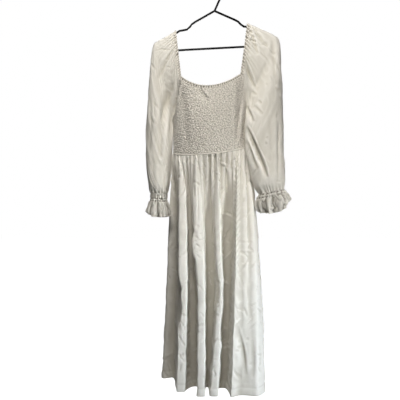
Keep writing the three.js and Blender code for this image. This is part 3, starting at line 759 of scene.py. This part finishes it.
# %% Sections of the sleeves
HEADS = {
    "left": [dict(arm=143, seam=0, front=-14, back=14), dict(arm=172, seam=0.36, front=-19, back=18),
             dict(arm=197, seam=0.68, front=-24, back=22)],
    "right": [dict(arm=117, seam=0, front=-14, back=14), dict(arm=158, seam=0.36, front=-20, back=20),
              dict(arm=197, seam=0.68, front=-26, back=28)],
}
CORNERS = {
    "left": dict(out=(-204, 0, -193), seam=0.88, front=-28, back=26),
    "right": dict(out=(224, 0, -178), seam=0.88, front=-30, back=36),
}
HANGING = {
    "left": [
        dict(name="underarm", out=(-214, -2, -265), inner=(-139, 12, -466), full=(-34, 31),
             open=(0.7, 0.7)),
        dict(name="upper_arm", out=(-222, -4, -375), inner=(-139, 6, -522), full=(-36, 32)),
        dict(name="elbow", out=(-228, -5, -482), inner=(-142, 2, -577), full=(-36, 32)),
        dict(name="forearm", out=(-226, -7, -585), inner=(-145, -2, -632), full=(-36, 32)),
        dict(name="puff", out=(-220, -9, -657), inner=(-150, -5, -672), full=(-36, 32)),
        dict(name="wrist", out=(-212, -10, -692), inner=(-156, -8, -694), full=(-22, 20)),
    ],
    "right": [
        dict(name="underarm", out=(228, -10, -262), inner=(108, -24, -430), full=(-40, 40), open=(0.4, 1)),
        dict(name="upper_arm", out=(230, -22, -372), inner=(103, -44, -476), full=(-36, 37), open=(0, 0.5)),
        dict(name="elbow", out=(231, -32, -480), inner=(104, -52, -550), full=(-38, 36)),
        dict(name="forearm", out=(232, -40, -570), inner=(114, -53, -614), full=(-38, 37)),
        dict(name="puff", out=(234, -45, -645), inner=(128, -53, -665), full=(-38, 36)),
        dict(name="wrist", out=(230, -47, -678), inner=(148, -50, -696), full=(-24, 24)),
    ],
}
ARMS = {"left": LEFT, "right": RIGHT}
NECK_EDGE = {"left": 134, "right": 108}
NECK_FULLNESS = 14


def section_row(out, inner_front, inner_back, front, back, open_front, open_back):
    """One section as a row of numbers: three places, two fullnesses and two openings."""
    return np.concatenate([out, inner_front, inner_back, [front, back, open_front, open_back]])


def sleeve_rows(side):
    arm, rows = ARMS[side], []
    for row in HEADS[side]:
        inner = [raglan(arm, face, [row["seam"]])[0] for face in ("front", "back")]
        rows.append(section_row(over_arm(arm["side"], row["arm"]), *inner, row["front"], row["back"], 1, 1))
    corner = CORNERS[side]
    inner = [raglan(arm, face, [corner["seam"]])[0] for face in ("front", "back")]
    rows.append(section_row(corner["out"], *inner, corner["front"], corner["back"], 1, 1))
    for row in HANGING[side]:
        opening = row.get("open", (0, 0))
        rows.append(section_row(row["out"], row["inner"], row["inner"], *row["full"], *opening))
    return np.array(rows)


def around(rows, shares):
    """Points round each section, from the front inner edge over the outer line to the back one."""
    u = np.asarray(shares)
    front = (u < 0.5)[None, :, None]
    turn = np.abs(2 * u - 1) * np.pi / 2
    share = np.sin(turn) ** 2
    out, inner_front, inner_back = (rows[:, None, n:n + 3] for n in (0, 3, 6))
    grid = mix(out, np.where(front, inner_front, inner_back), share[None, :, None])
    full = np.where(front[..., 0], rows[:, 9:10], rows[:, 10:11])
    flat = np.where(front[..., 0], rows[:, 11:12], rows[:, 12:13])
    grid[..., 1] += full * np.sin(2 * turn) * (1 - flat * share)
    return grid


SECTIONS = {side: sleeve_rows(side) for side in ARMS}
print("sleeve sections", {side: len(rows) for side, rows in SECTIONS.items()})

# %% [markdown]
# The creases of each sleeve are listed one by one. Weight on the hanger's end pulls long soft
# troughs down from the shoulder, and short puckers cross them where the cloth turns. The back of
# each sleeve, which hangs more freely, gets a few longer ones.

# %% Make the sleeves
SLEEVE_GRID = (160, 200)
WRIST_GATHER = dict(step=10.0, height=2.6, reach=15.0)
GATHER_FADE = 1.4
GATHER_ENDS = 8
ARM_TOP = dict(calm=0.7, normal=(0.3, 0.8))
SLEEVE_SEEDS = {"left": (30, 40, 48), "right": (34, 41, 49)}
SLEEVE_CRUMPLE = dict(size=46.0, height=1.1)
SLEEVE_CRINKLE = dict(
    count=110, long=(14, 60), wide=(2.0, 4.6), deep=(0.5, 2.0), slant=(55, 90, 120))
SLEEVE_CREASES = {
    "left": [
        (2.0, 2.2, 0, (-199, -208), (-171, -204), (-137, -208)),
        (6, 6, -0.6, (-134, -206), (-158, -243), (-185, -305)),
        (9, -3, 0, (-127, -233), (-148, -274), (-165, -322)),
        (11, 11, -0.5, (-137, -308), (-161, -393), (-173, -471), (-188, -597)),
        (6, -6, 0, (-134, -400), (-138, -460), (-144, -560)),
        SEAM_GAP,
        (3, 2, 0, (-216, -247), (-195, -274)),
        (4, 2.4, 1, (-209, -379), (-178, -417)),
        (4, 2.4, 1, (-219, -434), (-192, -464)),
        (5, 2.5, 0, (-219, -349), (-212, -444), (-216, -546)),
        (6, 2, 0, (-214, -560), (-205, -600), (-204, -655)),
        (5, 2.5, 0, (-158, -600), (-166, -640), (-168, -672)),
    ],
    "right": [
        (6, 7, -0.6, (116, -121), (131, -155), (145, -199), (152, -223)),
        (6.5, 13, -0.7, (104, -243), (124, -288), (141, -335)),
        (4.5, 3, -0.5, (131, -345), (148, -359)),
        (4, 3.2, -0.7, (152, -376), (165, -386)),
        (6.5, 5, -0.5, (135, -131), (155, -158), (175, -186)),
        (7, 3, 0, (172, -176), (186, -196)),
        (7, 3, 0, (199, -172), (204, -240), (209, -376)),
        (5, 3.6, -0.5, (138, -393), (169, -424)),
        (6, 6.5, -0.5, (111, -393), (138, -451)),
        (6.5, 15, -0.7, (111, -464), (131, -505), (152, -553), (172, -597), (183, -640)),
        (5.5, 9, -0.7, (114, -512), (131, -560), (148, -607)),
        (4, 3, 0, (179, -500), (186, -505)),
        (4, 3, 0, (176, -520), (183, -525)),
        (5, 5, 0, (219, -444), (221, -546), (219, -682)),
        (9, 2.5, 0, (190, -420), (196, -520), (198, -640)),
    ],
}
BACK_CREASES = {
    "left": [
        (8, 5, 0, (-150, -240), (-170, -330), (-180, -430)),
        (7, 4, 0, (-195, -300), (-185, -420), (-190, -560)),
        (6, 5, 0, (-160, -470), (-175, -560), (-195, -630)),
    ],
    "right": [
        (8, 5, 0, (130, -220), (150, -310), (165, -400)),
        (7, 4, 0, (205, -240), (195, -380), (200, -520)),
        (6, 5, 0, (130, -450), (155, -540), (180, -620)),
    ],
}


def sleeve_grid(side):
    """The sleeve's grid, its columns evenly spaced along the neck edge."""
    rows, columns = SLEEVE_GRID
    shares = np.linspace(0, 1, 4 * columns)
    edge = lengths(around(SECTIONS[side][:1], shares), 1)[0]
    shares = np.interp(np.linspace(0, edge[-1], columns), edge, shares)
    grid = around(smooth(SECTIONS[side], np.linspace(0, 1, rows)), shares)
    return grid if side == "right" else grid[:, ::-1]


def gather_ends(grid, seed):
    """Gathers that fan out from the neck and draw in at the wrist, calmer over the hanger's arm."""
    across, down = lengths(grid, 1), lengths(grid, 0)
    relief = 0
    ends = (NECK_GATHER, 0, down), (WRIST_GATHER, -1, down[-1:] - down)
    for n, (gather, row, gap) in enumerate(ends):
        wave, reach = gathers(across[row], gather["step"], seed + n)
        fade = np.exp(-(gap / (gather["reach"] * reach[None])) ** GATHER_FADE)
        relief = relief + gather["height"] * wave[None] * fade
    over = ARM_TOP["calm"] * ease(*ARM_TOP["normal"], outward(grid)[..., 2])
    return raised(grid, relief * inset(across, GATHER_ENDS, 1) * (1 - over))


def casing_over_arm(side):
    """The band from the neckline's edge over the hanger's arm to the sleeve's first section."""
    arm = ARMS[side]
    inner = section_row(
        over_arm(arm["side"], NECK_EDGE[side]), arm["front_corner"], arm["back_corner"],
        -NECK_FULLNESS, NECK_FULLNESS, 1, 1)
    band = mix(*around(np.array([inner, SECTIONS[side][0]]), casing_along), casing_down)
    return band if side == "right" else band[:, ::-1]


for side, (gather_seed, crumple_seed, crinkle_seed) in SLEEVE_SEEDS.items():
    grid = press(sleeve_grid(side), SLEEVE_CREASES[side])
    grid = press(grid, BACK_CREASES[side], face=1)
    edge = lengths(grid[:1], 1)[0, -1]
    grid = crumple(gather_ends(grid, gather_seed), crumple_seed, **SLEEVE_CRUMPLE)
    cloth(f"sleeve_{side}", crinkle(grid, crinkle_seed, **SLEEVE_CRINKLE), "cream_cloth")
    cloth(f"neck_casing_{side}", frill(casing_over_arm(side), gather_seed, edge), "shirred_cloth")

# %% [markdown]
# ## Cuff ruffles
# Below the elastic of each wrist the sleeve ends in a ruffle. It is a ring that grows as it
# falls, with uneven flutes and two rows of puckers where the elastic is sewn. The left one stays
# narrow down to its elastic, and the right one draws in again at its edge.

# %% Make the cuffs
CUFFS = {
    "left": dict(fall=(-1, -2, -80), growth=0.36, flare=0.26, full_at=0.92, elastic=(19, 27),
                 lift=(17, 4), slant=(74, 90, 106), seed=61, crinkle_seed=70),
    "right": dict(fall=(9, -3, -70), growth=0.3, flare=0, full_at=0.5, elastic=(5, 15),
                  lift=(12, 26), slant=(40, 90, 135), seed=62, crinkle_seed=71),
}
CUFF_GRID = (52, 190)
FLUTES = ((4, 3.2), (7, 6.4), (11, 5.6), (17, 3.2))
FLUTE_SLANT = 0.25
FLUTE_START = 0.6
PUCKER = dict(count=23, wide=2.6, deep=3.4, uneven=2.6)
CUFF_CRINKLE = dict(count=64, long=(14, 44), wide=(2.4, 5.0), deep=(1.0, 3.2))


def cuff_grid(side):
    cuff, wrist = CUFFS[side], SECTIONS[side][-1]
    rows, columns = CUFF_GRID
    u = np.arange(columns) / columns
    middle = (wrist[0:3] + wrist[3:6]) / 2
    away = around(wrist[None], u)[0] - middle
    v = np.linspace(0, 1, rows)[:, None]
    random = np.random.default_rng(cuff["seed"])
    flute = 0
    for count, height in FLUTES:
        start, slant = random.uniform(0, 1), random.uniform(-FLUTE_SLANT, FLUTE_SLANT)
        flute = flute + height * np.cos(2 * np.pi * (count * u + start + slant * v))
    down = v * abs(cuff["fall"][2])
    pucker = sum(np.exp(-((down - at) / PUCKER["wide"]) ** 2) for at in cuff["elastic"])
    tight = np.cos(2 * np.pi * PUCKER["count"] * u + 2 * np.sin(6 * np.pi * u))
    pucker = pucker * (PUCKER["deep"] + PUCKER["uneven"] * tight)
    below = np.clip(v - cuff["flare"], 0, 1)
    full = np.sin(np.pi / 2 * below / (cuff["full_at"] - cuff["flare"]))
    reach = np.linalg.norm(away, axis=1)
    swell = 1 + full * cuff["growth"] + (below ** FLUTE_START * flute - pucker) / reach
    grid = middle + away[None] * swell[..., None] + v[..., None] * np.array(cuff["fall"])
    across = away[:, 0] / np.abs(away[:, 0]).max()
    lift = np.where(across < 0, *cuff["lift"]) * np.abs(across) ** 3
    grid[..., 2] += v ** 2 * lift
    return grid if side == "right" else grid[:, ::-1]


for side, cuff in CUFFS.items():
    grid = cuff_grid(side)
    grid = crinkle(grid, cuff["crinkle_seed"], slant=cuff["slant"], closed=True, **CUFF_CRINKLE)
    # The cuffs take the ruffle finish: the cream cloth painted darker, as painted shade.
    cloth(f"cuff_ruffle_{side}", grid, "cream_cloth", True, "shaded_ruffle_cloth")

# %% [markdown]
# ## Skirt
# The skirt is gathered into the waist seam and falls in long folds to the hem. A row of the table
# is one fold line: its angle at the waist and its place in plan at hip, knee and hem. A smooth
# closed curve through the fold lines gives the whole girth at any height, and the two panels are
# the parts of it in front of and behind the side seams.

# %% Make the skirt's girth
SKIRT_LEVELS = (0, 0.2, 0.6, 1)
HEM_Z = -1342
CREST_TURN = (3.0, 7.0)
WAIST_TURN = 0.25
SKIRT_FOLDS = [
    dict(name="seam_left", waist=-108, hip=(-148, 24), knee=(-163, 42), hem=(-180, 59)),
    dict(name="edge_left", waist=-99, hip=(-146, 16), knee=(-156, 33), hem=(-172, 48)),
    dict(name="inner_left", waist=-80, hip=(-122, -2), knee=(-131, 35), hem=(-138, 54)),
    dict(name="ridge_a", waist=-54, hip=(-102, -68), knee=(-102, -68), hem=(-108, -60), crest=(10, 12, 11)),
    dict(name="valley_ab", waist=-40, hip=(-80, -46), knee=(-70, -32), hem=(-64, -22), floor=(5, 10, 11)),
    dict(name="ridge_b", waist=-22, hip=(-54, -80), knee=(-42, -91), hem=(-43, -95), crest=(12, 9, 10)),
    dict(name="valley_bc", waist=-5, hip=(-20, -52), knee=(-11, -36), hem=(-22, -26), floor=(8, 11, 5)),
    dict(name="ridge_c", waist=9, hip=(8, -80), knee=(17, -89), hem=(-1, -93), crest=(6, 7, 10)),
    dict(name="valley_cd", waist=27, hip=(45, -54), knee=(43, -40), hem=(30, -34), floor=(13, 10, 11)),
    dict(name="seam_right", waist=47, hip=(72, -84), knee=(65, -95), hem=(54, -100), crest=(0, 0, 0)),
    dict(name="dip_d", waist=60, hip=(95, -70), knee=(95, -82), hem=(90, -86), floor=(8, 8, 8)),
    dict(name="bulge_e", waist=74, hip=(116, -54), knee=(127, -78), hem=(130, -90), floor=(8, 10, 10)),
    dict(name="turn_right", waist=90, hip=(137, -2), knee=(159, -30), hem=(168, -52)),
    dict(name="back_right", waist=112, hip=(122, 42), knee=(156, 32), hem=(164, 24)),
    dict(name="back_ridge_1", waist=130, hip=(95, 58), knee=(128, 76), hem=(136, 84), floor=(8, 8, 8)),
    dict(name="back_valley_1", waist=145, hip=(70, 49), knee=(98, 54), hem=(104, 58)),
    dict(name="back_ridge_2", waist=160, hip=(42, 60), knee=(62, 80), hem=(70, 91), floor=(9, 9, 9)),
    dict(name="back_valley_2", waist=176, hip=(14, 50), knee=(27, 55), hem=(32, 56)),
    dict(name="back_ridge_3", waist=192, hip=(-16, 60), knee=(-8, 82), hem=(-5, 93), floor=(10, 10, 10)),
    dict(name="back_valley_3", waist=206, hip=(-45, 51), knee=(-43, 58), hem=(-44, 62)),
    dict(name="back_ridge_4", waist=222, hip=(-78, 60), knee=(-82, 82), hem=(-86, 92), floor=(9, 9, 9)),
    dict(name="back_valley_4", waist=234, hip=(-108, 50), knee=(-122, 72), hem=(-128, 86)),
    dict(name="back_left", waist=244, hip=(-144, 35), knee=(-156, 53), hem=(-171, 73)),
]


def fold_lines(fold):
    """Lines of a fold as angle and plan: one, the edges of a floor, or a crest with turned edges."""
    side = 1 if math.cos(math.radians(fold["waist"])) > 0 else -1
    plan = np.array([fold["hip"], fold["knee"], fold["hem"]], float)
    if "crest" in fold:
        wide, (out, back) = np.array(fold["crest"], float), CREST_TURN
        offsets = [(-wide - out, back), (-wide, 0), (wide, 0), (wide + out, back)]
        if not wide.any():
            offsets = offsets[:2]
    elif "floor" in fold:
        wide = np.array(fold["floor"], float)
        offsets = [(-wide, 0), (wide, 0)]
    else:
        offsets = [(np.zeros(3), 0)]
    lines = []
    for along, inward in offsets:
        shift = np.stack([side * along, np.full(3, side * inward)], 1)
        lines.append((fold["waist"] + WAIST_TURN * along[0], plan + shift))
    return lines


def between(a, b, leave, arrive, span, t):
    """A smooth way from a to b over a span, with the slopes at which it leaves and arrives."""
    place = mix(a, b, t * t * (3 - 2 * t))
    return place + span * (leave * t * (1 - t) ** 2 + arrive * t * t * (t - 1))


def down_line(angle, plan, shares):
    """A line's places down the skirt, smooth through waist, hip, knee and hem."""
    top = waist(angle)
    plan = np.concatenate([[top[:2]], plan])
    level = np.array(SKIRT_LEVELS)
    ends = [(max(n - 1, 0), min(n + 1, 3)) for n in range(4)]
    slope = np.array([(plan[b] - plan[a]) / (level[b] - level[a]) for a, b in ends])
    n = np.clip(np.searchsorted(level, shares, side="right") - 1, 0, 2)
    span = (level[n + 1] - level[n])[:, None]
    t = (shares - level[n])[:, None] / span
    place = between(plan[n], plan[n + 1], slope[n], slope[n + 1], span, t)
    return np.concatenate([place, mix(top[2], HEM_Z, shares)[:, None]], 1)


def girth(lines, places):
    """Closed curves through the lines, one for each row, that keep flat where lines lie close."""
    ahead, before = np.roll(lines, -1, axis=0), np.roll(lines, 1, axis=0)
    gap = np.linalg.norm(ahead - lines, axis=2, keepdims=True)
    slope = (ahead - before) / (gap + np.roll(gap, 1, axis=0))
    first = np.floor(places).astype(int) % len(lines)
    last = (first + 1) % len(lines)
    t = (places - np.floor(places))[:, None, None]
    return between(lines[first], lines[last], slope[first], slope[last], gap[first], t)


SKIRT_LINES = [line for fold in SKIRT_FOLDS for line in fold_lines(fold)]
FRONT_FOLDS = [fold["name"] for fold in SKIRT_FOLDS].index("seam_right") + 1
SIDE_SEAM = sum(len(fold_lines(fold)) for fold in SKIRT_FOLDS[:FRONT_FOLDS]) - 1
print("girth has", len(SKIRT_LINES), "lines, side seam at", SIDE_SEAM)

# %% [markdown]
# Gathers start at the waist seam and run into the long folds. The side seam puckers where the two
# panels were eased together, and a turned hem is stitched a little above the lower edge.

# %% Make the skirt panels
SKIRT_ROWS = 200
SKIRT_PANELS = [
    dict(name="skirt_front", first=0, last=SIDE_SEAM, columns=235, seed=81, pucker="right"),
    dict(name="skirt_back", first=SIDE_SEAM, last=len(SKIRT_LINES), columns=170, seed=83,
         pucker="left"),
]
ROW_CROWDING = 1.1
SWAYS = ((5, 1.0), (11, 0.8), (23, 0.5))
SWAY_SEED = 80
WAIST_GATHER = dict(step=17.0, height=8.0, round=0.65, start=0.55, full=22, reach=135.0, fade=1.6)
FINE_GATHER = dict(step=17.0 / 2.4, height=2.8, reach=28.0)
SKIRT_ENDS = 10
SEAM_PUCKER = dict(step=17.0, slant=0.9, height=1.4, wide=12.0, fade=1.5, ends=(330, 430), start=20,
                   seed=86)
HEM = dict(turn=27.0, stitch=2.6, deep=0.9, thick=0.5, edge=4)
SKIRT_CRUMPLE = dict(size=54.0, height=1.1)
SKIRT_CRINKLE = dict(
    count=340, long=(10, 46), wide=(2.0, 4.6), deep=(0.7, 2.9), slant=(-40, 35, 80))
PINCHES = [
    dict(lines=(3, 4), at=0.62, long=0.09, across=11),
    dict(lines=(9, 10), at=0.38, long=0.05, across=-8),
    dict(lines=(15, 16), at=0.56, long=0.06, across=6),
    dict(lines=(17, 18), at=0.72, long=0.05, across=-5),
]
SKIRT_CREASES = [
    (3.5, 1.5, 0, (84, -852), (99, -858), (138, -856)),
    (3.5, 1.7, 0, (84, -895), (110, -892), (138, -897)),
    (7, 6, -0.7, (80, -1140), (101, -1226), (111, -1311)),
    (7, 3, -0.5, (133, -1190), (136, -1260), (134, -1320)),
    (7, 2, 0, (110, -960), (118, -1040), (128, -1120)),
    (5, 2, 0, (159, -1209), (158, -1301)),
    (3, 3, 1, (-122, -1170), (-110, -1195), (-94, -1214)),
    (3, 3, 1, (-122, -1236), (-110, -1254), (-96, -1268)),
    (3, 2.4, 0, (-122, -1120), (-108, -1132), (-94, -1160)),
    (4, 4, 0, (-56, -560), (-53, -700), (-50, -800)),
    (3, 2.5, 0, (-62, -836), (-48, -850)),
    (3, 2.5, 0, (-60, -862), (-46, -878)),
    (3, 2, 0, (-58, -900), (-44, -912)),
    (3, 4, 0, (4, -1056), (20, -1066)),
    (3, 4, 0, (6, -1080), (22, -1074)),
    (3.5, 3.5, 0, (2, -1100), (20, -1110)),
    (4, 3, 0, (8, -985), (24, -1000)),
    (4, 2.5, 0, (-2, -1200), (16, -1185)),
]


def wander(lines, shares):
    """Lets each line sway a little on its way down, and pinches a crest where it was creased."""
    random = np.random.default_rng(SWAY_SEED)
    for line in lines:
        for waves, reach in SWAYS:
            line[:, 0] += reach * shares * np.sin(2 * np.pi * (waves * shares + random.uniform(0, 1)))
    for row in PINCHES:
        near = np.exp(-((shares - row["at"]) / row["long"]) ** 4)
        for line in row["lines"]:
            lines[line, :, 0] += row["across"] * near
    return lines


def skirt_grid(row):
    shares = np.linspace(0, 1, SKIRT_ROWS) ** ROW_CROWDING
    lines = wander(np.array([down_line(*line, shares) for line in SKIRT_LINES]), shares)
    stops = np.arange(row["first"], row["last"] + 1)
    hem = lines[stops % len(lines), -1]
    gaps = np.linalg.norm(np.diff(hem, axis=0), axis=1)
    weight = np.concatenate([[0], np.cumsum(gaps + gaps.mean())])
    places = np.interp(np.linspace(0, weight[-1], row["columns"]), weight, stops)
    return girth(lines, places).transpose(1, 0, 2)


def gather_waist(grid, seed):
    """Rounded gathers from the waist seam, with finer ones close to it."""
    across, down = lengths(grid, 1), lengths(grid, 0)
    wave, reach = gathers(across[0], WAIST_GATHER["step"], seed)
    wave = 2 * ((1 + wave) / 2) ** WAIST_GATHER["round"] - 1
    fine, short = gathers(across[0], FINE_GATHER["step"], seed + 1)
    start = mix(WAIST_GATHER["start"], 1, ease(0, WAIST_GATHER["full"], down))
    fade = np.exp(-(down / (WAIST_GATHER["reach"] * reach[None])) ** WAIST_GATHER["fade"])
    relief = WAIST_GATHER["height"] * start * wave[None] * fade
    fade = np.exp(-(down / (FINE_GATHER["reach"] * short[None])) ** GATHER_FADE)
    relief += FINE_GATHER["height"] * fine[None] * fade
    return raised(grid, relief * inset(across, SKIRT_ENDS, 1))


def pucker_seam(grid, side):
    """Small slanting puckers beside the side seam, down to the knee."""
    across, down = lengths(grid, 1), lengths(grid, 0)
    gap = across if side == "left" else across[:, -1:] - across
    wave = gathers(down + SEAM_PUCKER["slant"] * gap, SEAM_PUCKER["step"], SEAM_PUCKER["seed"])[0]
    fade = np.exp(-(gap / SEAM_PUCKER["wide"]) ** SEAM_PUCKER["fade"])
    fade = fade * (1 - ease(*SEAM_PUCKER["ends"], down)) * ease(0, SEAM_PUCKER["start"], down)
    return raised(grid, SEAM_PUCKER["height"] * wave * fade)


def stitch_hem(grid):
    """A line of stitching above the hem, and the turned cloth below it a little thicker."""
    down = lengths(grid, 0)
    up = down[-1:] - down
    stitch = HEM["deep"] * np.exp(-((up - HEM["turn"]) / HEM["stitch"]) ** 2)
    return raised(grid, HEM["thick"] * ease(HEM["turn"], HEM["turn"] - HEM["edge"], up) - stitch)


for row in SKIRT_PANELS:
    grid = press(gather_waist(skirt_grid(row), row["seed"]), SKIRT_CREASES)
    grid = stitch_hem(pucker_seam(grid, row["pucker"]))
    grid = crumple(grid, row["seed"] + 5, **SKIRT_CRUMPLE)
    cloth(row["name"], crinkle(grid, row["seed"] + 9, **SKIRT_CRINKLE), "cream_cloth")
